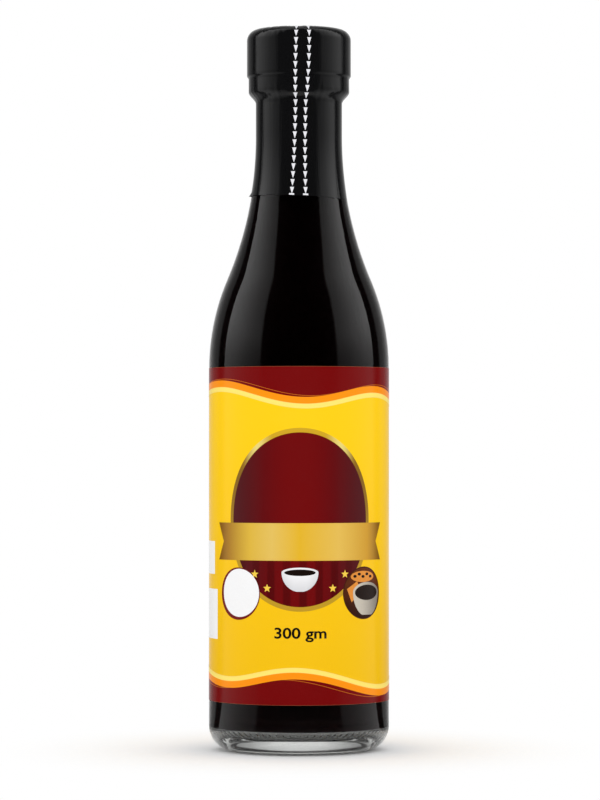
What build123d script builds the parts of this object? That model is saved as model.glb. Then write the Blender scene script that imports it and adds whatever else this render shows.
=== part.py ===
from build123d import *
import math
import os

# A glass bottle of soy sauce: bottle, sauce, screw cap, shrink film and wrap-around paper label.
# Millimetres, +Z up. The origin is on the bottle's axis, at the surface that it stands on, and the
# printed front of the label faces -Y. Every piece is turned from a half section, in which X is the
# radius and Y is the height.

# Glass bottle
overall_height = 210.4
body_radius = 26.25
neck_radius = 12.45
neck_length = 29.4  # upright part, from the end of the shoulder to the rim
shoulder_radius = 66.0  # bulging arc that leaves the upright body
shoulder_lean = 23.0  # steepest lean of the shoulder, in degrees from upright
heel_radius = 7.0
bearing_width = 1.7  # flat ring that the bottle stands on
push_up = 3.2  # rise of the underside's hollow at its middle
glass_wall = 2.2
floor_thickness = 3.4  # at the middle
floor_crown = 1.6  # the inside floor's middle is this much above its edge
floor_corner_radius = 6.0
rim_land = 0.6  # flat top of the rim, between its two rounded edges

# Screw cap, with its tamper band moulded on
cap_wall = 2.45
cap_disc = 1.6
cap_clearance = 0.15  # between the cap and the neck
cap_edge_radius = 3.0
skirt_height = 13.6
band_height = 4.4
band_inset = 0.5  # the tamper band is this much slimmer than the skirt
band_chamfer = 0.4  # height of the slope between the skirt and the band

# Shrink film, label and sauce
skin_gap = 0.03  # room between round faces that lie on each other
film_thickness = 0.15
film_opening_radius = 8.5  # the film folds over the cap's edge and leaves its middle bare
film_bridge = 3.4  # height over which the film runs in from the tamper band to the neck
film_reach = 31.4  # from the cap's lower edge to the film's lower edge, on the axis
film_tilt = 2.6  # degrees: the film's lower edge is lower at +X
label_thickness = 0.12
label_bottom = 14.7
label_gap = 5.6  # between the label's two ends, at the back
headspace = 31.0  # from the sauce up to the rim

# Radii and heights that follow from them
lean = math.radians(shoulder_lean)
neck_curve_radius = (body_radius - neck_radius) / (1 - math.cos(lean)) - shoulder_radius
cap_radius = neck_radius + cap_clearance + cap_wall
cap_top = overall_height - film_thickness - skin_gap
rim_height = cap_top - cap_disc
skirt_bottom = cap_top - skirt_height
cap_bottom = skirt_bottom - band_height
shoulder_top = rim_height - neck_length
shoulder_bottom = shoulder_top - (shoulder_radius + neck_curve_radius) * math.sin(lean)
bearing_outer = body_radius - heel_radius
bearing_inner = bearing_outer - bearing_width
inside_floor = push_up + floor_thickness


def turned(edges, sweep=360):
    """The solid that a closed half section makes when it is turned about the bottle's axis."""
    return revolve(Plane.XZ * make_face(edges), axis=Axis.Z, revolution_arc=sweep)


def side_curve(offset, low, high):
    """The bottle's side between two heights, moved out by an offset: body, shoulder and neck."""
    body = Line((body_radius + offset, low), (body_radius + offset, shoulder_bottom))
    bulge = JernArc(body @ 1, (0, 1), shoulder_radius + offset, shoulder_lean)
    hollow = JernArc(bulge @ 1, bulge % 1, neck_curve_radius - offset, -shoulder_lean)
    neck = Line(hollow @ 1, (neck_radius + offset, high))
    return [body, bulge, hollow, neck]


def bottle_filling(room, top):
    """Everything inside the glass up to a height, with some room left between it and the glass."""
    middle = inside_floor + room
    edge = middle - floor_crown
    radius = body_radius - glass_wall - room
    corner_centre = (radius - floor_corner_radius, edge + floor_corner_radius)
    floor = ThreePointArc(
        (0, middle),
        (corner_centre[0] / 2, middle - floor_crown / 4),
        (corner_centre[0], edge),
    )
    corner = CenterArc(corner_centre, floor_corner_radius, -90, 90)
    side = side_curve(-glass_wall - room, corner_centre[1], top)
    lid = Polyline(side[-1] @ 1, (0, top), (0, middle))
    return turned([floor, corner, *side, lid])


def bottle_glass():
    """The bottle, with a push-up under it, a rounded heel and a rounded rim."""
    underside = ThreePointArc((0, push_up), (bearing_inner / 2, push_up * 3 / 4), (bearing_inner, 0))
    bearing = Line((bearing_inner, 0), (bearing_outer, 0))
    heel = CenterArc((bearing_outer, heel_radius), heel_radius, -90, 90)
    side = side_curve(0, heel_radius, rim_height)
    lid = Polyline(side[-1] @ 1, (0, rim_height), (0, push_up))
    bottle = turned([underside, bearing, heel, *side, lid]) - bottle_filling(0, rim_height)
    rim_edges = bottle.edges().group_by(Axis.Z)[-1]
    return fillet(rim_edges, (glass_wall - rim_land) / 2)


def soy_sauce():
    """The sauce, up to its level in the neck."""
    return bottle_filling(skin_gap, rim_height - headspace)


def cap_outline(offset, low_edges):
    """The cap's outside, moved out by an offset, above the edges that lead up to its tamper band."""
    band_radius = cap_radius - band_inset + offset
    skirt_radius = cap_radius + offset
    top = cap_top + offset
    centre = (cap_radius - cap_edge_radius, cap_top - cap_edge_radius)
    side = Polyline(
        low_edges[-1] @ 1,
        (band_radius, cap_bottom),
        (band_radius, skirt_bottom - band_chamfer),
        (skirt_radius, skirt_bottom),
        (skirt_radius, centre[1]),
    )
    edge = CenterArc(centre, cap_edge_radius + offset, 0, 90)
    lid = Polyline(edge @ 1, (0, top), low_edges[0] @ 0)
    return turned([*low_edges, side, edge, lid])


def cap():
    """The screw cap and its tamper band: the cap's disc sits on the rim."""
    bore = Cylinder(
        neck_radius + cap_clearance,
        rim_height - cap_bottom,
        align=(Align.CENTER, Align.CENTER, Align.MIN),
    )
    foot = Line((0, cap_bottom), (neck_radius, cap_bottom))
    return cap_outline(0, [foot]) - Pos(0, 0, cap_bottom) * bore


def film_body(offset):
    """The cap, neck and body together, moved out by an offset, with the film's slope under the band."""
    foot = Line((0, heel_radius), (body_radius + offset, heel_radius))
    side = side_curve(offset, heel_radius, cap_bottom - film_bridge)
    return cap_outline(offset, [foot, *side])


def shrink_film():
    """The film over the cap and the neck: open over the cap's middle, with a tilted lower edge."""
    film = film_body(skin_gap + film_thickness) - film_body(skin_gap)
    opening = Pos(0, 0, cap_top) * Cylinder(film_opening_radius, skirt_height)
    lower_edge = Plane.XY.rotated((0, film_tilt, 0)).offset(cap_bottom - film_reach)
    return split(film - opening, bisect_by=lower_edge, keep=Keep.TOP)


def label():
    """The paper label, wrapped round the upright body, with its two ends apart at the back."""
    inner = body_radius + skin_gap
    half_gap = math.degrees(label_gap / 2 / inner)
    height = shoulder_bottom - label_bottom
    section = Pos(inner + label_thickness / 2, label_bottom + height / 2) * Rectangle(label_thickness, height)
    wrap = revolve(Plane.XZ * section, axis=Axis.Z, revolution_arc=360 - 2 * half_gap)
    return Rot(0, 0, 90 + half_gap) * wrap


pieces = {
    "bottle_glass": bottle_glass(),
    "soy_sauce": soy_sauce(),
    "cap": cap(),
    "shrink_film": shrink_film(),
    "label": label(),
}

os.makedirs("parts", exist_ok=True)
for name, piece in pieces.items():
    export_step(piece, f"parts/{name}.step")
    print(name, round(piece.volume), "mm3")
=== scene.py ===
import math

import bmesh
import bpy
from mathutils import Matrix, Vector, noise


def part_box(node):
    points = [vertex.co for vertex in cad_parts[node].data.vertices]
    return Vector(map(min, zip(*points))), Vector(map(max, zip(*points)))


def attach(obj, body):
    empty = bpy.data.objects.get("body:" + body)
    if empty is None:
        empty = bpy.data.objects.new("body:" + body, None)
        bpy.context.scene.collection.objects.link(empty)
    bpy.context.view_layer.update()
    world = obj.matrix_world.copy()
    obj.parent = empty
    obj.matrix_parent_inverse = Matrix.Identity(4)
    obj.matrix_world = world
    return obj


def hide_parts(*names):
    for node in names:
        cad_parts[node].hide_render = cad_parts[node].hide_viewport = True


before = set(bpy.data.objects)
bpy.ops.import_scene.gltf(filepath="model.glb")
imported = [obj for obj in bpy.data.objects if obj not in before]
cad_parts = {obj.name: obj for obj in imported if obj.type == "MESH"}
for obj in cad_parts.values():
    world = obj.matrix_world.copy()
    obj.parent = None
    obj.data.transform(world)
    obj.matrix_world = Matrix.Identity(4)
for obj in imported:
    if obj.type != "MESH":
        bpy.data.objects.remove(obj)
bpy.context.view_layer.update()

# A sealed bottle of soy sauce on a pale floor. Everything is in metres, standing on Z = 0 with its
# axis on Z, and the printed front of the label faces -Y.

MM = 0.001

# ---------------------------------------------------------------- sizes read from the frame

glass_low, glass_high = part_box("bottle_glass")
sauce_low, sauce_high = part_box("soy_sauce")
cap_low, cap_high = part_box("cap")
film_low, film_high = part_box("shrink_film")
label_low, label_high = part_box("label")

body_radius = glass_high.x
rim_height = glass_high.z
cap_radius = cap_high.x
label_radius = label_high.x
label_height = label_high.z - label_low.z

# ---------------------------------------------------------------- sizes of the glass

neck_radius = 12.45 * MM
shoulder_bottom = label_high.z
shoulder_radius = 66 * MM  # the bulging arc that leaves the upright body
shoulder_lean = math.radians(23)
hollow_radius = (body_radius - neck_radius) / (1 - math.cos(shoulder_lean)) - shoulder_radius
bulge_top = shoulder_bottom + shoulder_radius * math.sin(shoulder_lean)
shoulder_top = bulge_top + hollow_radius * math.sin(shoulder_lean)
glass_wall = 2.2 * MM
heel_radius = 7 * MM
bearing_width = 1.7 * MM
bearing_outer = body_radius - heel_radius
bearing_inner = bearing_outer - bearing_width
push_up = 3.2 * MM
inside_floor = push_up + 3.4 * MM
floor_crown = 1.6 * MM
floor_corner = 6 * MM
rim_round = 0.8 * MM

# ---------------------------------------------------------------- sizes of the film and label

film_gap = 0.06 * MM
film_thickness = 0.1 * MM
band_inset = 0.5 * MM
band_top = cap_high.z - 13.6 * MM
film_bridge = 3.4 * MM
cap_edge = 3 * MM
film_opening = 8.5 * MM
hem_tilt = math.radians(2.6)
hem_reach = 9 * MM  # how far above the lower edge its tilt and waves are felt
hem_wave = 0.16 * MM
flick_turn = -88  # degrees round from the front, where the lower edge curls outwards
flick_spread = 9  # degrees
flick_out = 0.55 * MM
flick_height = 1.6 * MM
gather_depth = 0.1 * MM
gather_height = 2.2 * MM
pleat_depth = 0.12 * MM
pleat_drop = 0.22 * MM
paper_thickness = 0.05 * MM
paper_radius = label_radius - 0.07 * MM
ink_step = 0.012 * MM  # how much each ink lies above the one under it
label_gap = 5.6 * MM
label_length = 2 * math.pi * label_radius - label_gap


def glass_radius(height):
    """The outer radius of the glass above its heel: upright body, bulge, hollow and neck."""
    if height <= shoulder_bottom:
        return body_radius
    if height <= bulge_top:
        rise = height - shoulder_bottom
        return body_radius - shoulder_radius + math.sqrt(shoulder_radius ** 2 - rise ** 2)
    if height <= shoulder_top:
        drop = shoulder_top - height
        return neck_radius + hollow_radius - math.sqrt(hollow_radius ** 2 - drop ** 2)
    return neck_radius


def steps(start, end, count):
    """Evenly spaced numbers from start to end, both included."""
    return [start + (end - start) * i / count for i in range(count + 1)]


def arc(centre, radius, start, end, count):
    """Points on a round stretch of a section, with its angles in degrees up from straight out."""
    turns = [math.radians(a) for a in steps(start, end, count)]
    return [(centre[0] + radius * math.cos(a), centre[1] + radius * math.sin(a)) for a in turns]


def ease(t):
    """A smooth rise from 0 to 1."""
    t = min(max(t, 0.0), 1.0)
    return t * t * (3 - 2 * t)


def ripple(x, y, z, size):
    """Soft, uneven relief from -1 to 1, with bumps of about the given size."""
    return noise.noise(Vector((x, y, z)) / size)


# ---------------------------------------------------------------- making pieces


def new_piece(name, mesh_data, material, smooth=True):
    """A finished piece: the mesh stays where it was modelled, and it rides on the bottle."""
    mesh = bpy.data.meshes.new(name)
    mesh_data.to_mesh(mesh)
    mesh_data.free()
    if smooth:
        mesh.shade_smooth()
    mesh.materials.append(material)
    made = bpy.data.objects.new(name, mesh)
    bpy.context.scene.collection.objects.link(made)
    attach(made, "root")
    return made


def turned(section, count, closed=True):
    """A section turned once about the axis. A closed one joins its ends, unless they are on the axis."""
    mesh = bmesh.new()
    points = [mesh.verts.new((radius, 0, height)) for radius, height in section]
    lines = [mesh.edges.new(pair) for pair in zip(points, points[1:])]
    if closed and section[0][0] > 0:
        lines.append(mesh.edges.new((points[-1], points[0])))
    bmesh.ops.spin(
        mesh,
        geom=points + lines,
        cent=(0, 0, 0),
        axis=(0, 0, 1),
        angle=2 * math.pi,
        steps=count,
        use_merge=True,
    )
    bmesh.ops.remove_doubles(mesh, verts=mesh.verts, dist=0.002 * MM)
    bmesh.ops.recalc_face_normals(mesh, faces=mesh.faces)
    return mesh


def harden(piece, degrees):
    """Keeps edges sharper than an angle crisp, and shades the rest smooth."""
    piece.data.set_sharp_from_angle(angle=math.radians(degrees))


# ---------------------------------------------------------------- shader maths


class Reading:
    """What a socket gives at each point. Sums written with it add their own Math nodes."""

    def __init__(self, sheet, socket):
        self.sheet = sheet
        self.socket = socket

    def __add__(self, other):
        return self.sheet.maths("ADD", self, other)

    def __radd__(self, other):
        return self.sheet.maths("ADD", other, self)

    def __sub__(self, other):
        return self.sheet.maths("SUBTRACT", self, other)

    def __rsub__(self, other):
        return self.sheet.maths("SUBTRACT", other, self)

    def __mul__(self, other):
        return self.sheet.maths("MULTIPLY", self, other)

    def __rmul__(self, other):
        return self.sheet.maths("MULTIPLY", other, self)

    def __neg__(self):
        return self.sheet.maths("MULTIPLY", self, -1.0)


class Sheet:
    """A node tree that is being written."""

    def __init__(self, tree):
        self.tree = tree
        tree.nodes.clear()

    def node(self, kind, settings=None, inputs=None, output=0):
        """Adds a node: first its settings, then the values or links of its sockets."""
        made = self.tree.nodes.new(kind)
        for name, value in (settings or {}).items():
            if name == "stops":
                set_stops(made.color_ramp, value)
            else:
                setattr(made, name, value)
        for name, value in (inputs or {}).items():
            if isinstance(value, Reading):
                self.tree.links.new(value.socket, made.inputs[name])
            else:
                made.inputs[name].default_value = value
        if isinstance(output, tuple):
            return [Reading(self, made.outputs[name]) for name in output]
        return Reading(self, made.outputs[output]) if made.outputs else made

    def maths(self, operation, *values):
        return self.node("ShaderNodeMath", {"operation": operation}, dict(enumerate(values)))

    def rise(self, value, low, high):
        """0 below low, 1 above high, and a smooth rise between them."""
        return self.node(
            "ShaderNodeMapRange",
            {"interpolation_type": "SMOOTHSTEP"},
            {"Value": value, "From Min": low, "From Max": high},
        )

    def blend(self, share, first, second):
        """The first colour where share is 0 and the second where it is 1."""
        return self.node(
            "ShaderNodeMix", {"data_type": "RGBA"}, {0: share, 6: first, 7: second}, output=2
        )

    def grain(self, size, detail=3.0, rough=0.5, where=None):
        """Uneven noise from 0 to 1, with grains of about the given size."""
        inputs = {"Scale": 1 / size, "Detail": detail, "Roughness": rough}
        inputs["Vector"] = where or self.place()
        return self.node("ShaderNodeTexNoise", None, inputs, output="Fac")

    def place(self):
        return self.node("ShaderNodeTexCoord", output="Object")

    def axes(self):
        """The X, Y and Z of the point, in metres."""
        return self.node("ShaderNodeSeparateXYZ", None, {0: self.place()}, output=("X", "Y", "Z"))

    def bump(self, height, depth):
        """A normal from a height of 0 to 1, over a depth in metres."""
        return self.node("ShaderNodeBump", None, {"Height": height, "Distance": depth}, output="Normal")


def set_stops(ramp, stops):
    """Gives a colour ramp its stops, each a position from 0 to 1 and a colour."""
    while len(ramp.elements) < len(stops):
        ramp.elements.new(0.5)
    for element, (position, colour) in zip(ramp.elements, stops):
        element.position = position
        element.color = colour


def rgb(red, green, blue):
    """A colour as a screen shows it, in steps of 0 to 255, for a shader."""
    return (*[linear(channel / 255) for channel in (red, green, blue)], 1)


def linear(level):
    """A screen level from 0 to 1 as the amount of light."""
    return level / 12.92 if level <= 0.04045 else ((level + 0.055) / 1.055) ** 2.4


def material(name, finish):
    """A material whose Principled sockets are what finish gives for its node tree."""
    made = bpy.data.materials.new(name)
    made.use_nodes = True
    sheet = Sheet(made.node_tree)
    surface = sheet.node("ShaderNodeBsdfPrincipled", None, finish(sheet))
    sheet.node("ShaderNodeOutputMaterial", None, {"Surface": surface})
    return made


# ---------------------------------------------------------------- finishes


def clear_glass(sheet):
    """Flint glass: nearly colourless, with the slight unevenness of a moulded wall."""
    swirl = sheet.grain(9 * MM, detail=1.0)
    return {
        "Base Color": sheet.blend(swirl, (0.96, 0.985, 0.97, 1), (0.99, 0.995, 0.99, 1)),
        "Roughness": swirl * 0.01,
        "IOR": 1.5,
        "Transmission Weight": 1.0,
        "Normal": sheet.bump(swirl, 0.02 * MM),
    }


def dark_sauce(sheet):
    """Soy sauce, all but black. Its foot mirrors the thick glass floor, as it does seen from a side."""
    cloud = sheet.grain(14 * MM, detail=2.0)
    foot = 1 - sheet.rise(sheet.axes()[2], inside_floor - 0.1 * MM, inside_floor + 0.3 * MM)
    dark = sheet.blend(cloud, rgb(20, 6, 8), rgb(30, 9, 11))
    return {
        "Base Color": sheet.blend(foot, dark, (0.86, 0.86, 0.85, 1)),
        "Metallic": foot,
        "Roughness": 0.3 + cloud * 0.1 - foot * 0.27,
        "Specular IOR Level": 0.05,
    }


def film_plastic(sheet):
    """Black shrink film: glossy, drawn into faint upright creases."""
    x, y, height = sheet.axes()
    turn = sheet.maths("ARCTAN2", x, y)
    upright = sheet.node("ShaderNodeCombineXYZ", None, {0: turn * 13 * MM, 2: height * 0.06})
    creases = sheet.grain(0.7 * MM, detail=3.0, where=upright)
    dust = sheet.grain(0.25 * MM, detail=4.0)
    return {
        "Base Color": sheet.blend(dust, rgb(9, 9, 10), rgb(14, 14, 15)),
        "Roughness": 0.1 + creases * 0.1 + dust * 0.03,
        "Normal": sheet.bump(creases, 0.03 * MM),
    }


def cap_plastic(sheet):
    """Black moulded plastic with a fine satin texture."""
    texture = sheet.grain(0.18 * MM, detail=2.0)
    return {
        "Base Color": sheet.blend(texture, rgb(20, 20, 22), rgb(28, 28, 30)),
        "Roughness": 0.38 + texture * 0.12,
        "Normal": sheet.bump(texture, 0.02 * MM),
    }


def printed(colour):
    """Varnished paper in a colour that is worked out for its node tree."""

    def finish(sheet):
        fibres = sheet.grain(0.12 * MM, detail=4.0, rough=0.6)
        varnish = sheet.grain(6 * MM, detail=2.0)
        return {
            "Base Color": colour(sheet),
            "Roughness": 0.15 + varnish * 0.05 + fibres * 0.04,
            "Specular IOR Level": 0.22,
            "Normal": sheet.bump(fibres * 0.7 + varnish * 0.3, 0.004 * MM),
        }

    return finish


def flecked(first, second, size=0.35 * MM):
    """An even ink, with the faint unevenness of print."""
    return lambda sheet: sheet.blend(sheet.grain(size, detail=3.0), first, second)


def yellow_field(sheet):
    """The label's yellow, a little deeper towards its foot."""
    height = sheet.axes()[2]
    up = sheet.rise(height, label_low.z, label_high.z)
    field = sheet.blend(up, rgb(242, 190, 4), rgb(255, 207, 10))
    spots = sheet.grain(0.3 * MM, detail=3.0)
    inked = sheet.blend(spots * 0.25, field, rgb(255, 201, 8))
    low_edge = 1 - sheet.rise(height, label_low.z, label_low.z + 0.12 * MM)
    high_edge = sheet.rise(height, label_high.z - 0.12 * MM, label_high.z)
    return sheet.blend(low_edge + high_edge, inked, rgb(150, 70, 66))


def round_the_bottle(sheet):
    """How far round from the middle of the label's front a point is, in degrees, right positive."""
    x, y, _ = sheet.axes()
    return sheet.maths("ARCTAN2", x, -y) * (180 / math.pi)


def panel_red(sheet):
    """The dark red panel: brighter in the middle, with faint upright stripes low down."""
    turn = round_the_bottle(sheet)
    height = sheet.axes()[2]
    side = sheet.rise(sheet.maths("ABSOLUTE", turn), 4.0, 44.0)
    base = sheet.blend(side, rgb(112, 3, 5), rgb(78, 15, 21))
    stripes = sheet.rise(sheet.maths("SINE", turn * 0.62), -0.4, 0.6)
    low_down = 1 - sheet.rise(height, 50 * MM, 66 * MM)
    return sheet.blend(stripes * low_down * 0.6, base, rgb(70, 2, 4))


def ribbon_gold_with_painted_sheen(sheet):
    """Printed gold: bronze at the ribbon's tails, with a painted sheen in pale bands across it."""
    turn = round_the_bottle(sheet)
    across = sheet.node("ShaderNodeMapRange", None, {"Value": turn, "From Min": -62.0, "From Max": 63.0})
    # The palest stops, round 0.36 and 0.7, are a painted sheen on the printed gold.
    stops = [
        (0.0, rgb(112, 68, 16)),
        (0.1, rgb(170, 122, 34)),
        (0.24, rgb(220, 180, 62)),
        (0.36, rgb(226, 190, 92)),
        (0.5, rgb(226, 178, 36)),
        (0.7, rgb(226, 186, 84)),
        (0.88, rgb(204, 152, 44)),
        (1.0, rgb(104, 62, 16)),
    ]
    return sheet.node("ShaderNodeValToRGB", {"stops": stops}, {"Fac": across}, output="Color")


def rim_gold_with_painted_glint(sheet):
    """The panel's gold rim: plain gold low down, and higher up a painted glint to each side, with painted
    shade that turns it bronze down its sides.
    """
    turn = round_the_bottle(sheet)
    height = sheet.axes()[2]
    # Painted shade: higher up, the gold turns bronze as the rim turns away to the sides.
    side = sheet.rise(sheet.maths("ABSOLUTE", turn), 14.0, 46.0)
    low = sheet.rise(height, 44 * MM, 92 * MM)
    upper = sheet.blend(side, rgb(206, 164, 30), rgb(112, 72, 24))
    # Painted highlight: a pale glint in a band on each side of the front, higher up.
    painted_glint = sheet.rise(sheet.maths("ABSOLUTE", turn), 16.0, 27.0) * (
        1 - sheet.rise(sheet.maths("ABSOLUTE", turn), 27.0, 38.0)
    )
    lit = sheet.blend(painted_glint * 0.85, upper, rgb(240, 222, 130))
    return sheet.blend(1 - low, lit, rgb(190, 150, 34))


def vignette_ground(sheet):
    """The round picture's dark, warm ground."""
    cloud = sheet.grain(2.2 * MM, detail=3.0)
    height = sheet.axes()[2]
    low = sheet.rise(height, 38 * MM, 52 * MM)
    warm = sheet.blend(low, rgb(46, 14, 6), rgb(112, 52, 16))
    return sheet.blend(cloud * 0.7, warm, rgb(24, 8, 5))


# ---------------------------------------------------------------- bottle and sauce


def rib(value):
    """A knurl's height from 0 to 1, round the ring that the bottle stands on."""
    return 0.5 - 0.5 * math.cos(value)


def clear_bottle():
    """The glass: push-up, knurled bearing ring, heel, body, shoulder, neck and rim, hollow inside."""
    knurls = 58
    knurl_depth = 0.42 * MM
    count = knurls * 8
    push_angle = 2 * math.atan2(push_up, bearing_inner)
    push_radius = bearing_inner / math.sin(push_angle)
    dome = [
        (push_radius * math.sin(a), push_up - push_radius * (1 - math.cos(a)))
        for a in steps(0, push_angle, 16)
    ]
    bearing = [(radius, 0) for radius in steps(bearing_inner, bearing_outer, 5)]
    heel = arc((bearing_outer, heel_radius), heel_radius, -90, 0, 18)
    body = [(body_radius, height) for height in steps(heel_radius, shoulder_bottom, 10)]
    side = [(glass_radius(height), height) for height in steps(shoulder_bottom, shoulder_top, 40)]
    outer_lip = arc((neck_radius - rim_round, rim_height - rim_round), rim_round, 0, 90, 5)
    inner_lip = arc(
        (neck_radius - glass_wall + rim_round, rim_height - rim_round), rim_round, 90, 180, 5
    )
    inside = inner_section(0, shoulder_top)
    section = dome + bearing[1:] + heel[1:] + body[1:] + side[1:] + outer_lip + inner_lip + inside
    mesh = turned(section, count)
    for point in mesh.verts:  # the knurls, and the mould's two seams at the sides
        radius = math.hypot(point.co.x, point.co.y)
        turn = math.atan2(point.co.y, point.co.x)
        near_ring = 1 - ease((abs(radius - bearing_outer) - 0.7 * MM) / (1.6 * MM))
        if point.co.z < 1.2 * MM and radius > bearing_inner - 0.1 * MM:
            point.co.z += knurl_depth * near_ring * rib(turn * knurls)
        elif radius > neck_radius - 0.2 * MM and abs(math.cos(turn)) > 0.99999:
            point.co.x *= 1 + 0.04 * MM / radius
    piece = new_piece("clear_bottle", mesh, material("clear_glass", clear_glass))
    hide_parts("bottle_glass")
    harden(piece, 40)


def inner_section(bite, top):
    """The bottle's inside from a height down to the middle of its floor, moved into the glass by a bite."""
    wall = glass_wall - bite
    reach = body_radius - wall - floor_corner
    edge = inside_floor - floor_crown - bite
    side = [(glass_radius(height) - wall, height) for height in steps(top, shoulder_bottom, 40)]
    body = [(body_radius - wall, height) for height in steps(shoulder_bottom, edge + floor_corner, 10)]
    corner = arc((reach, edge + floor_corner), floor_corner, 0, -90, 14)
    floor = [
        (radius, edge + floor_crown * (1 - (radius / reach) ** 2)) for radius in steps(reach, 0, 16)
    ]
    return side + body[1:] + corner[1:] + floor[1:]


def sauce_in_bottle():
    """The sauce: it reaches just into the glass, so that no gap of air shows between them."""
    bite = 0.05 * MM
    top = sauce_high.z
    surface = [(radius, top) for radius in steps(0, glass_radius(top) - glass_wall + bite, 6)]
    mesh = turned(surface + inner_section(bite, top)[1:], 192)
    piece = new_piece("dark_sauce", mesh, material("dark_sauce", dark_sauce))
    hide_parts("soy_sauce")
    harden(piece, 40)


def black_cap():
    """The cap keeps its CAD mesh, which the film hides, in black plastic."""
    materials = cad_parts["cap"].data.materials
    materials.clear()
    materials.append(material("cap_plastic", cap_plastic))


# ---------------------------------------------------------------- shrink film


def film_section():
    """The film's outside, from its lower edge up the neck and over the cap, as (radius, height)."""
    skin = film_gap + film_thickness
    band = cap_radius - band_inset + skin
    skirt = cap_radius + skin
    hem = hem_height()
    neck_end = cap_low.z - film_bridge
    neck = [(glass_radius(height) + skin, height) for height in steps(hem, neck_end, 60)]
    bridge = [
        (neck[-1][0] + (band - neck[-1][0]) * ease(t), neck_end + film_bridge * t)
        for t in steps(0, 1, 14)
    ]
    lower_band = [(band, height) for height in steps(cap_low.z, band_top - 0.7 * MM, 8)]
    step_up = [
        (band + (skirt - band) * ease(t), band_top - 0.7 * MM + 1.0 * MM * t) for t in steps(0, 1, 8)
    ]
    centre = (cap_radius - cap_edge, cap_high.z - cap_edge)
    upper = [(skirt, height) for height in steps(step_up[-1][1], centre[1], 16)]
    edge = arc(centre, cap_edge + skin, 0, 90, 16)
    fold = [(radius, film_high.z - 0.02 * MM) for radius in steps(centre[0], film_opening, 12)]
    return neck + bridge[1:] + lower_band[1:] + step_up[1:] + upper[1:] + edge[1:] + fold[1:]


def hem_height():
    """The height of the film's lower edge, on the bottle's axis."""
    return film_low.z + math.tan(hem_tilt) * (glass_radius(film_low.z) + film_gap + film_thickness)


def film_shift(radius, turn, height):
    """How the shrunk film departs from a turned shape: (outwards, upwards), in metres."""
    x, y = math.sin(turn), -math.cos(turn)
    out = 0.05 * MM * ripple(x * 12, y * 12, height / MM / 9, 5.0)
    up = 0.0
    above_hem = height - hem_height()
    if above_hem < hem_reach:
        share = (1 - above_hem / hem_reach) ** 2
        up += share * (hem_wave * ripple(x * 9, y * 9, 3.3, 3.0) - math.tan(hem_tilt) * x * radius)
        flick = math.exp(-((math.degrees(turn) - flick_turn) / flick_spread) ** 2)
        out += flick_out * flick * max(0.0, 1 - above_hem / flick_height) ** 1.5
        out += 0.1 * MM * max(0.0, ripple(x * 9, y * 9, 8.1, 2.5)) * share
    gather = math.exp(-((height - cap_low.z + 1.2 * MM) / gather_height) ** 2)
    out += gather_depth * gather * ripple(x * 15, y * 15, 1.7, 1.3)
    top = ease((height - (cap_high.z - cap_edge)) / (2.2 * MM))
    pleats = ripple(x * 15, y * 15, 5.5, 1.1) + 0.5 * ripple(x * 15, y * 15, 9.5, 0.5)
    out += pleat_depth * top * pleats
    up -= pleat_drop * top * max(0.0, pleats)
    return out, up


def film_point(section, along, turn, lift=0.0):
    """A point on the film at a length along its section and an angle round it, raised by a lift."""
    lengths = section_lengths(section)
    along = min(max(along, 0.0), lengths[-1])
    i = max(k for k in range(len(lengths) - 1) if lengths[k] <= along)
    share = (along - lengths[i]) / (lengths[i + 1] - lengths[i])
    radius = section[i][0] + (section[i + 1][0] - section[i][0]) * share
    height = section[i][1] + (section[i + 1][1] - section[i][1]) * share
    span = Vector((section[i + 1][0] - section[i][0], section[i + 1][1] - section[i][1])).normalized()
    out, up = film_shift(radius, turn, height)
    radius += out + lift * span.y
    height += up - lift * span.x
    return Vector((radius * math.sin(turn), -radius * math.cos(turn), height))


def section_lengths(section):
    """How far along a section each of its points is."""
    lengths = [0.0]
    for start, end in zip(section, section[1:]):
        lengths.append(lengths[-1] + math.dist(start, end))
    return lengths


def black_film():
    """The film over cap and neck: turned, then wrinkled, then given its thickness."""
    mesh = turned(film_section(), 300, closed=False)
    for point in mesh.verts:
        radius = math.hypot(point.co.x, point.co.y)
        turn = math.atan2(point.co.x, -point.co.y)
        out, up = film_shift(radius, turn, point.co.z)
        point.co = Vector(
            ((radius + out) * math.sin(turn), -(radius + out) * math.cos(turn), point.co.z + up)
        )
    outward = sum(face.normal.dot(face.calc_center_median() * Vector((1, 1, 0))) for face in mesh.faces)
    if outward < 0:
        bmesh.ops.reverse_faces(mesh, faces=mesh.faces)
    bmesh.ops.solidify(mesh, geom=mesh.faces[:], thickness=film_thickness)
    piece = new_piece("black_film", mesh, material("film_plastic", film_plastic))
    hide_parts("shrink_film")
    harden(piece, 50)


def film_arrows():
    """The tear strip's printed marks: two rows of small arrowheads, each ending in a bar."""
    section = film_section()
    length = section_lengths(section)[-1] - 3.6 * MM
    pitch = 2.32 * MM
    ink = 0.02 * MM
    arrow_rows = [(0.04 + 0.56 * t, -0.9 + 1.9 * t) for t in steps(0, 1, 6)]
    mesh = bmesh.new()
    for side in (-1, 1):
        count = int((length - 1.2 * MM) / pitch)
        for i in range(count + 1):
            along = 1.5 * MM + i * pitch
            add_mark(mesh, section, along, strip_turn(along, side), arrow_rows, ink)
        add_mark(mesh, section, 0.36 * MM, strip_turn(0.0, side), [(0.75, -0.25), (0.75, 0.25)], ink)
    white = material("film_white", printed(flecked(rgb(222, 222, 228), rgb(236, 236, 240))))
    new_piece("film_arrows", mesh, white, smooth=False)


def strip_turn(along, side):
    """The angle of one row of arrowheads: the rows drift to the left as they run down the neck."""
    up = min(along / (46 * MM), 1.0)
    middle = -0.4 + 4.5 * up
    half = 8.3 - 1.1 * math.sin(math.pi * min(up * 1.15, 1.0)) - 1.1 * up
    return math.radians(middle + side * half)


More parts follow.
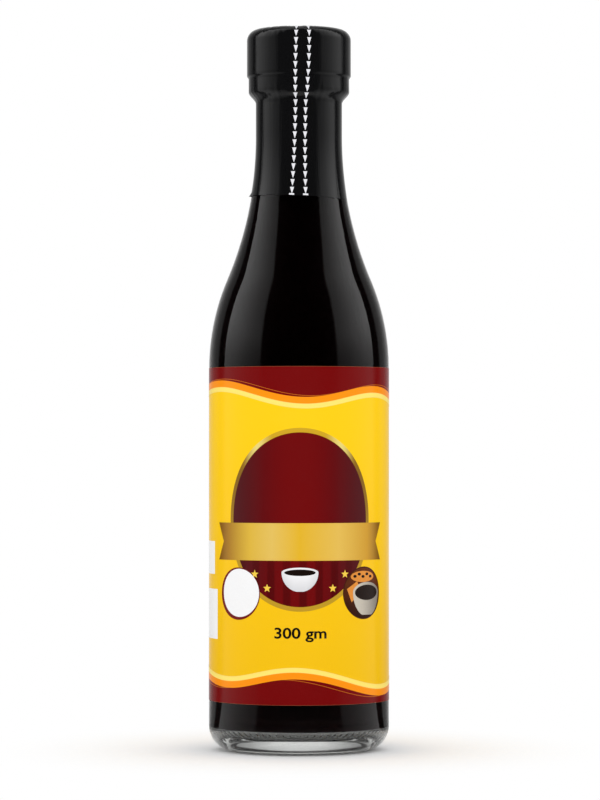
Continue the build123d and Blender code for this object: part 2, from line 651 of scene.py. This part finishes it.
def add_mark(mesh, section, along, turn, rows, ink):
    """A mark on the film, given by rows of (half width, height) in mm, with the thickness of its ink."""
    radius = math.hypot(*film_point(section, along, turn).xy)
    grid = []
    for half, up in rows:
        for lift in (0.0, ink + 0.01 * MM):
            for side in (-1, 0, 1):
                place = film_point(section, along + up * MM, turn + side * half * MM / radius, lift)
                grid.append(mesh.verts.new(place))
    made = []
    for low, high in zip(range(0, len(grid), 6), range(6, len(grid), 6)):
        ring = [0, 1, 2, 5, 4, 3]
        for a, b in zip(ring, ring[1:] + ring[:1]):
            made.append(mesh.faces.new((grid[low + a], grid[low + b], grid[high + b], grid[high + a])))
    for end in (0, len(grid) - 6):
        made.append(mesh.faces.new([grid[end + k] for k in (0, 1, 4, 3)]))
        made.append(mesh.faces.new([grid[end + k] for k in (1, 2, 5, 4)]))
    bmesh.ops.recalc_face_normals(mesh, faces=made)


# ---------------------------------------------------------------- label


def wrapped(mesh, bottom, top):
    """Gives a flat shape its thickness between two radii and wraps it round the bottle.

    The flat shape has X as the length round from the middle of the front, and Y as the height.
    """
    column = 0.9 * MM
    low = min(point.co.x for point in mesh.verts)
    high = max(point.co.x for point in mesh.verts)
    for line in range(math.ceil(low / column), math.floor(high / column) + 1):
        bmesh.ops.bisect_plane(
            mesh,
            geom=mesh.verts[:] + mesh.edges[:] + mesh.faces[:],
            dist=0.0001 * MM,
            plane_co=(line * column, 0, 0),
            plane_no=(1, 0, 0),
        )
    raised = bmesh.ops.extrude_face_region(mesh, geom=mesh.faces[:], use_keep_orig=True)["geom"]
    upper = [part for part in raised if isinstance(part, bmesh.types.BMVert)]
    bmesh.ops.translate(mesh, verts=upper, vec=(0, 0, top - bottom))
    bmesh.ops.recalc_face_normals(mesh, faces=mesh.faces)
    for point in mesh.verts:
        radius = bottom + point.co.z
        turn = point.co.x / label_radius
        point.co = Vector((radius * math.sin(turn), -radius * math.cos(turn), point.co.y))


def print_on_label(name, mesh, layer, paint):
    """A printed shape: a flat mesh, wrapped onto the paper in its own layer of ink."""
    top = paper_radius + layer * ink_step
    wrapped(mesh, top - 2 * ink_step, top)
    new_piece(name, mesh, material(name, printed(paint)), smooth=False)


def label_paper():
    """The paper, wrapped round the body with its two ends apart at the back."""
    mesh = bmesh.new()
    bmesh.ops.create_grid(mesh, x_segments=1, y_segments=12, size=0.5)
    for point in mesh.verts:
        point.co.x *= label_length
        point.co.y = label_low.z + (point.co.y + 0.5) * label_height
    wrapped(mesh, paper_radius - paper_thickness, paper_radius)
    piece = new_piece(
        "label_paper", mesh, material("yellow_field", printed(yellow_field))
    )
    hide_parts("label")
    harden(piece, 30)


def rolling(crests, x):
    """The height at x of a smooth line that rolls between crests and troughs, in millimetres."""
    for (left, start), (right, end) in zip(crests, crests[1:]):
        if x <= right:
            return start + (end - start) * (0.5 - 0.5 * math.cos(math.pi * (x - left) / (right - left)))
    return crests[-1][1]


# Where the two waves crest and dip, as (length round from the middle of the front, height), in mm.
upper_wave = [
    (-100, 104.4), (-78, 107.0), (-54, 105.2), (-27, 107.55), (2, 102.6),
    (25, 105.9), (48, 102.9), (72, 106.4), (100, 103),
]
lower_wave = [
    (-100, 24.6), (-72, 20.2), (-46, 25.0), (-23, 22.5), (-1.5, 25.45),
    (29, 19.95), (54, 23.2), (78, 20.4), (100, 23),
]
pale_width = 1.35
orange_width = 1.95


def upper_edge(x):
    """The height of the upper wave's top edge, in mm."""
    return rolling(upper_wave, x)


def lower_edge(x):
    """The height of the lower wave's top edge, in mm."""
    return rolling(lower_wave, x)


def add_strip(mesh, low_line, high_line, low_end, high_end):
    """A strip between two lines, each a height in mm that follows from the length round in mm."""
    made = bmesh.ops.create_grid(mesh, x_segments=180, y_segments=1, size=0.5)["verts"]
    for point in made:
        x = low_end + (high_end - low_end) * (point.co.x + 0.5)
        line = high_line if point.co.y > 0 else low_line
        point.co = Vector((x * MM, line(x) * MM, 0))


def label_bands():
    """Red bands along the label's head and foot, with a wave of orange and pale yellow at each."""
    end = label_length / MM / 2
    margin = 0.05
    head = label_high.z / MM - margin
    foot = label_low.z / MM + margin
    both = pale_width + orange_width
    bands = {
        "red_bands": (1, flecked(rgb(112, 2, 3), rgb(121, 4, 5)), [
            (lambda x: upper_edge(x) - 1, lambda x: head),
            (lambda x: foot, lambda x: lower_edge(x) - both + 1),
        ]),
        "orange_hairlines": (2, flecked(rgb(206, 104, 20), rgb(214, 116, 26)), [
            (lambda x: upper_edge(x - 1.6) + 0.3, lambda x: upper_edge(x - 1.6) + 0.43),
            (lambda x: lower_edge(x + 3.5) - 3.5, lambda x: lower_edge(x + 3.5) - 3.37),
        ]),
        "orange_waves": (3, flecked(rgb(252, 143, 2), rgb(254, 151, 5)), [
            (lambda x: upper_edge(x) - orange_width, upper_edge),
            (lambda x: lower_edge(x) - both, lambda x: lower_edge(x) - pale_width),
        ]),
        "pale_waves": (4, flecked(rgb(255, 226, 104), rgb(255, 232, 122)), [
            (lambda x: upper_edge(x) - both, lambda x: upper_edge(x) - orange_width + 0.03),
            (lambda x: lower_edge(x) - pale_width - 0.03, lower_edge),
        ]),
    }
    for name, (layer, paint, strips) in bands.items():
        mesh = bmesh.new()
        for low_line, high_line in strips:
            add_strip(mesh, low_line, high_line, -end, end)
        print_on_label(name, mesh, layer, paint)


def add_shape(mesh, outline):
    """A flat shape with its corners given in millimetres, round from the front's middle and up."""
    corners = [mesh.verts.new((x * MM, y * MM, 0)) for x, y in outline]
    return mesh.faces.new(corners)


def ellipse(centre, half_width, half_height, start=0, end=360, count=72):
    """Corners round an ellipse, in millimetres."""
    turns = [math.radians(a) for a in steps(start, end, count)]
    if end - start == 360:
        turns.pop()
    return [(centre[0] + half_width * math.cos(a), centre[1] + half_height * math.sin(a)) for a in turns]


def star(centre, points, outer, inner):
    """Corners of a star, in millimetres."""
    corners = []
    for i in range(2 * points):
        reach = outer if i % 2 == 0 else inner
        turn = math.pi / 2 + math.pi * i / points
        corners.append((centre[0] + reach * math.cos(turn), centre[1] + reach * math.sin(turn)))
    return corners


def rectangle(left, right, low, high):
    """Corners of an upright rectangle, in millimetres."""
    return [(left, low), (right, low), (right, high), (left, high)]


def print_shapes(name, layer, paint, *outlines):
    """Several flat shapes in one ink."""
    mesh = bmesh.new()
    for outline in outlines:
        add_shape(mesh, outline)
    print_on_label(name, mesh, layer, paint)


def medallion():
    """A plain oval panel with a gold rim, a blank ribbon across it, small stars and a bowl of sauce."""
    centre = (0.3, 67.6)
    print_shapes("panel_rim", 1, rim_gold_with_painted_glint, ellipse(centre, 22.5, 26.2, count=144))
    print_shapes("oval_panel", 2, panel_red, ellipse(centre, 21.3, 24.9, count=144))
    left, right, low, high = -28.0, 28.8, 55.9, 66.6
    notch = 2.6
    tails = [(left, low), (right, low), (right - notch, (low + high) / 2), (right, high)]
    tails += [(left, high), (left + notch, (low + high) / 2)]
    print_shapes("gold_ribbon", 3, ribbon_gold_with_painted_sheen, tails)
    spots = [(-13.2, 52.0), (-9.3, 48.0), (9.9, 48.0), (13.8, 52.0)]
    stars = [star(spot, 5, 1.25, 0.55) for spot in spots]
    print_shapes("gold_stars", 3, flecked(rgb(238, 196, 60), rgb(248, 212, 84)), *stars)
    bowl_middle = 0.3
    rim = ellipse((bowl_middle, 52.6), 5.3, 1.35, 0, 180, 24)
    wall = ellipse((bowl_middle, 52.6), 5.3, 5.6, 180, 360, 36)
    bowl = rim + [(x, max(y, 47.1)) for x, y in wall[1:-1]]
    print_shapes("white_bowl", 3, bowl_white, bowl)
    sauce = ellipse((bowl_middle, 52.5), 4.5, 0.92)
    print_shapes("sauce_in_bowl", 4, flecked(rgb(16, 10, 8), rgb(30, 18, 12)), sauce)


def bowl_white(sheet):
    """Glazed white, greyer towards the bowl's foot and sides."""
    turn = round_the_bottle(sheet)
    height = sheet.axes()[2]
    low = 1 - sheet.rise(height, 46.5 * MM, 52.5 * MM)
    side = sheet.rise(sheet.maths("ABSOLUTE", turn - 0.6), 3.0, 12.0)
    return sheet.blend(low * 0.6 + side * 0.4, rgb(240, 240, 242), rgb(196, 196, 200))


def badge():
    """A blank white roundel in a dark red ring that is thicker low on its left."""
    centre = (-19.0, 46.3)
    print_shapes("badge_ring", 3, flecked(rgb(104, 12, 14), rgb(122, 18, 20)), ellipse(centre, 7.45, 7.5))
    inner = (centre[0] + 0.42, centre[1] + 0.25)
    print_shapes("badge_white", 4, flecked(rgb(238, 238, 240), rgb(248, 248, 248)), ellipse(inner, 6.8, 6.9))


def vignette():
    """A round picture made of plain shapes: a cup of sauce and a dish of beans on a dark ground."""
    x, y = 20.65, 46.5
    print_shapes("picture_edge", 3, flecked(rgb(60, 20, 10), rgb(74, 26, 12)), ellipse((x, y), 7.5, 7.55))
    print_shapes("picture_ground", 4, vignette_ground, ellipse((x, y), 7.2, 7.25))
    dish = ellipse((x - 0.3, y + 4.7), 4.6, 1.6)
    napkin = [(x - 6.2, y + 1.2), (x - 4.6, y - 2.6), (x - 1.2, y + 0.4), (x - 2.6, y + 3.4)]
    print_shapes("picture_warm", 5, flecked(rgb(214, 128, 44), rgb(232, 152, 66), 0.8 * MM), dish, napkin)
    cup = ellipse((x + 1.3, y + 0.2), 5.4, 2.9, 0, 180, 24)
    wall = ellipse((x + 1.3, y + 0.2), 5.4, 7.0, 180, 360, 36)
    cup += [(across, max(up, y - 6.3)) for across, up in wall[1:-1]]
    print_shapes("picture_cup", 6, cup_grey, cup)
    beans = [(x - 3.4, 4.8), (x - 1.8, 5.4), (x - 0.3, 4.7), (x + 1.3, 5.4), (x + 2.8, 4.7)]
    dots = [ellipse((bx, y + by), 0.62, 0.42, count=16) for bx, by in beans]
    sauce = ellipse((x + 1.3, y + 0.1), 4.7, 2.2)
    print_shapes("picture_dark", 7, flecked(rgb(20, 14, 12), rgb(40, 22, 14)), sauce, *dots)


def cup_grey(sheet):
    """Stoneware, pale on its left and grey on its right."""
    turn = round_the_bottle(sheet)
    side = sheet.rise(turn, 38.0, 60.0)
    speckle = sheet.grain(0.4 * MM, detail=3.0)
    return sheet.blend(side * 0.8 + speckle * 0.2, rgb(206, 198, 184), rgb(120, 112, 104))


def weight_text():
    """The plain net weight, in bold black figures."""
    curve = bpy.data.curves.new("weight_letters", "FONT")
    curve.body = "300 gm"
    curve.size = 1.0
    curve.offset = 0.02
    curve.resolution_u = 6
    letters = bpy.data.objects.new("weight_letters", curve)
    flat = bpy.data.meshes.new_from_object(letters)
    bpy.data.objects.remove(letters)
    mesh = bmesh.new()
    mesh.from_mesh(flat)
    bpy.data.meshes.remove(flat)
    bmesh.ops.remove_doubles(mesh, verts=mesh.verts, dist=0.0001)
    left, right = -7.1, 8.0
    digit_height = 3.05
    baseline = 33.8
    low = min(point.co.x for point in mesh.verts)
    high = max(point.co.x for point in mesh.verts)
    tall = max(point.co.y for point in mesh.verts)
    for point in mesh.verts:
        x = left + (right - left) * (point.co.x - low) / (high - low)
        point.co = Vector((x * MM, (baseline + digit_height * point.co.y / tall) * MM, 0))
    print_on_label("weight_figures", mesh, 3, flecked(rgb(14, 12, 6), rgb(24, 20, 10)))


def side_boxes():
    """Two plain white fields round the label's left side."""
    print_shapes(
        "white_fields",
        2,
        flecked(rgb(240, 240, 240), rgb(250, 250, 250)),
        rectangle(-61.0, -31.1, 51.6, 61.1),
        rectangle(-61.0, -29.1, 32.9, 47.3),
    )


# ---------------------------------------------------------------- studio


def gloss_round(sheet, x, y):
    """How bright the studio is in gloss, by direction: dark in front, two soft boxes, pale behind."""
    turn = sheet.maths("ARCTAN2", sheet.maths("ABSOLUTE", x), -y) * (180 / math.pi)
    box = sheet.rise(turn, 48.0, 53.0) * (1 - sheet.rise(turn, 109.5, 112.0))
    across = 0.3 + 0.7 * sheet.rise(turn, 50.0, 108.0)
    backdrop = sheet.rise(turn, 123.0, 129.0) * 0.16 + sheet.rise(turn, 132.0, 180.0) * 0.5
    return box * across * 1.25, backdrop


def studio_light():
    """A white room. In gloss it shows as two tall soft boxes at the sides, with dark in front."""
    world = bpy.data.worlds.new("studio")
    bpy.context.scene.world = world
    world.use_nodes = True
    world.cycles.sampling_method = "NONE"
    sheet = Sheet(world.node_tree)
    direction = sheet.node("ShaderNodeTexCoord", output="Generated")
    x, y, up = sheet.node("ShaderNodeSeparateXYZ", None, {0: direction}, output=("X", "Y", "Z"))
    boxes, backdrop = gloss_round(sheet, x, y)
    upwards = 0.45 + 0.55 * sheet.rise(up, 0.02, 0.34)
    seen_in_gloss = boxes * upwards + backdrop
    is_glossy = sheet.node("ShaderNodeLightPath", output="Is Glossy Ray")
    strength = 1.0 + is_glossy * (seen_in_gloss - 1.0)
    background = sheet.node("ShaderNodeBackground", None, {"Color": (1, 1, 1, 1), "Strength": strength})
    sheet.node("ShaderNodeOutputWorld", None, {"Surface": background})


def front_light():
    """A wide, weak soft box in front, which lifts the print's colours and shows in no gloss."""
    data = bpy.data.lights.new("front_light", "AREA")
    data.shape = "RECTANGLE"
    data.size = 1.2
    data.size_y = 1.0
    data.energy = 2.4
    lamp = bpy.data.objects.new("front_light", data)
    lamp.location = (0, -1.5, 0.5)
    lamp.rotation_euler = (math.radians(75), 0, 0)
    lamp.visible_glossy = False
    lamp.visible_transmission = False
    bpy.context.scene.collection.objects.link(lamp)


def pale_floor():
    """A white floor that keeps the bottle's shadow close round it and fades into the background."""
    mesh = bmesh.new()
    bmesh.ops.create_circle(mesh, cap_ends=True, segments=96, radius=4.0)
    data = bpy.data.meshes.new("floor")
    mesh.to_mesh(data)
    mesh.free()
    floor = bpy.data.objects.new("floor", data)
    bpy.context.scene.collection.objects.link(floor)
    white = bpy.data.materials.new("floor_white")
    white.use_nodes = True
    sheet = Sheet(white.node_tree)
    x, y, _ = sheet.axes()
    away = sheet.maths("SQRT", x * x + y * y)
    near = 1 - sheet.rise(away, 34 * MM, 95 * MM)
    is_diffuse, is_glossy = sheet.node("ShaderNodeLightPath", output=("Is Diffuse Ray", "Is Glossy Ray"))
    share = sheet.maths("MAXIMUM", near, is_diffuse)
    # In gloss the floor glows with the studio's soft boxes and backdrop, as the world does.
    boxes, backdrop = gloss_round(sheet, x, y)
    strength = 1.0 + is_glossy * (boxes * 0.45 + backdrop * 1.3 - 0.99)
    glow = sheet.node("ShaderNodeEmission", None, {"Color": (1, 1, 1, 1), "Strength": strength})
    matt = sheet.node("ShaderNodeBsdfDiffuse", None, {"Color": (0.98, 0.98, 0.98, 1)})
    mixed = sheet.node("ShaderNodeMixShader", None, {0: share, 1: glow, 2: matt})
    sheet.node("ShaderNodeOutputMaterial", None, {"Surface": mixed})
    data.materials.append(white)


def camera():
    """Level with the label's upper part, about a metre away, looking very slightly up."""
    distance = 1020 * MM
    eye_height = 87.2 * MM
    aim_height = 102.1 * MM
    across = 0.3 * MM
    data = bpy.data.cameras.new("camera")
    data.sensor_fit = "VERTICAL"
    data.sensor_height = 36
    data.lens = 156.9
    data.clip_start = 0.05
    eye = bpy.data.objects.new("camera", data)
    eye.location = (across, -distance, eye_height)
    eye.rotation_euler = (math.pi / 2 + math.atan2(aim_height - eye_height, distance), 0, 0)
    bpy.context.scene.collection.objects.link(eye)
    bpy.context.scene.camera = eye


# ---------------------------------------------------------------- the whole

scene = bpy.context.scene
scene.view_settings.view_transform = "Standard"

clear_bottle()
sauce_in_bottle()
black_film()
film_arrows()
label_paper()
label_bands()
medallion()
badge()
vignette()
weight_text()
side_boxes()
black_cap()

studio_light()
front_light()
pale_floor()
camera()
